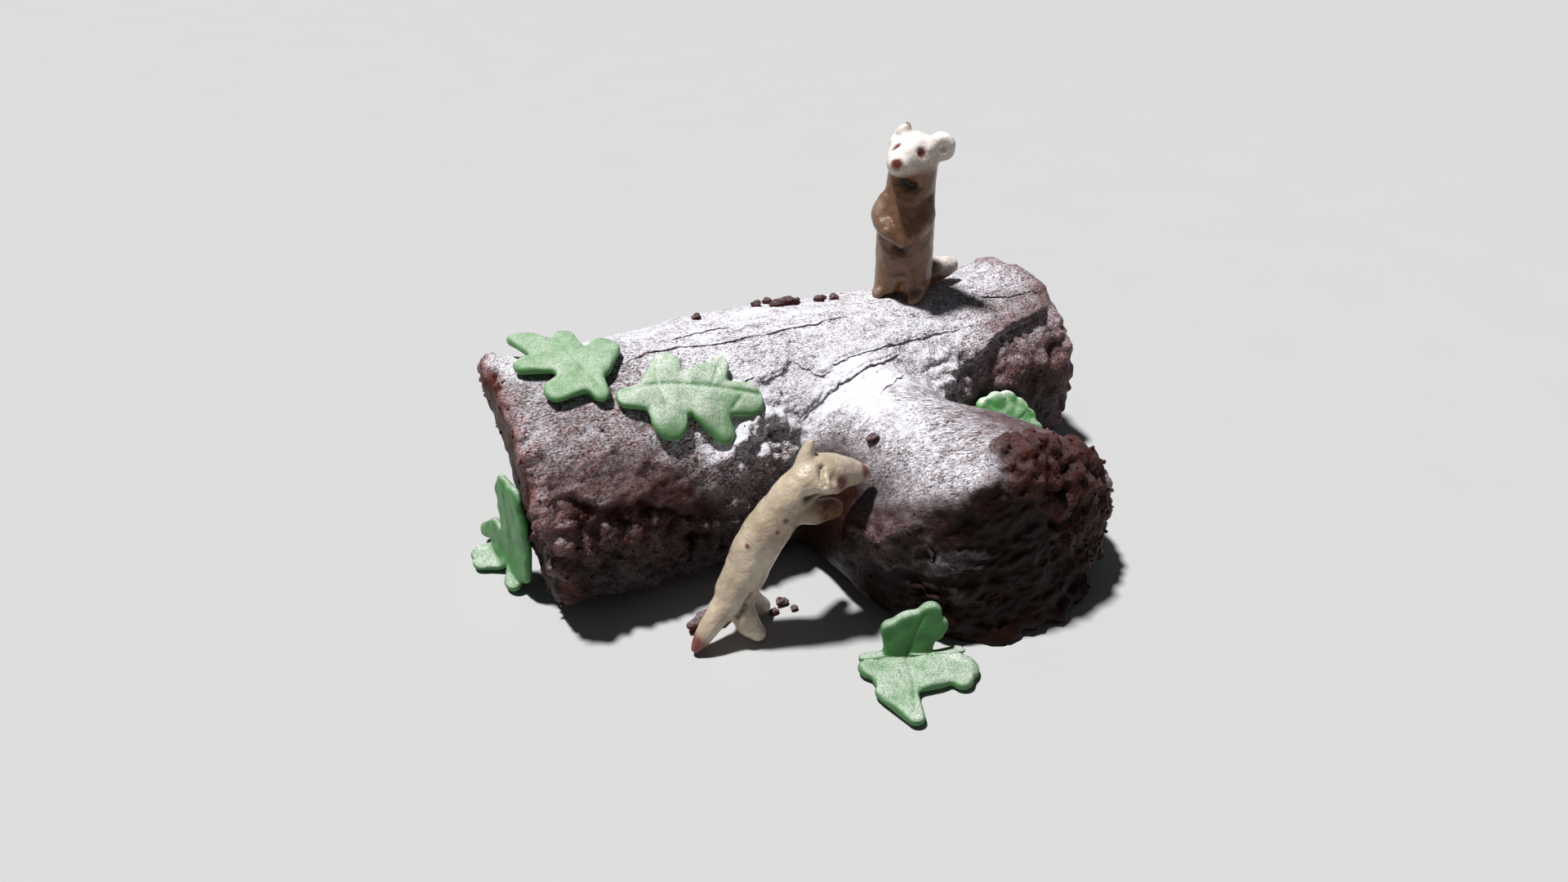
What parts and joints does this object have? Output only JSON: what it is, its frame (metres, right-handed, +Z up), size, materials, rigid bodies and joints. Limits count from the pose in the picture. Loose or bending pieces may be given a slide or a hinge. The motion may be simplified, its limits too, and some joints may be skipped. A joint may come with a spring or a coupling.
{
  "type": "yule log cake",
  "caption": "Chocolate-frosted log cake with a sawn-off branch, fondant leaves on and around it and two modelled stoats.",
  "frame": {"origin": "on the flat underside, below the middle of the log's length", "axes": "+X along the log from its thick end to its thin end, -Y towards the branch, +Z up"},
  "size_m": [0.273, 0.2024, 0.1483],
  "materials": {
    "frosting": "matt chocolate frosting dusted with icing sugar",
    "stoat_fondant": "satin beige fondant",
    "pale_leaf_fondant": "matt pale green fondant dusted with icing sugar",
    "leaf_fondant": "matt green fondant dusted with icing sugar",
    "bright_leaf_fondant": "satin bright green fondant"
  },
  "bodies": {
    "root": {"frosted_log": "frosting", "stoat_upright": "stoat_fondant", "stoat_leaning": "stoat_fondant", "leaf_ridge": "pale_leaf_fondant", "leaf_shoulder": "pale_leaf_fondant", "leaf_front": "leaf_fondant", "leaf_end": "leaf_fondant", "leaf_crook": "bright_leaf_fondant"}
  },
  "joints": []
}
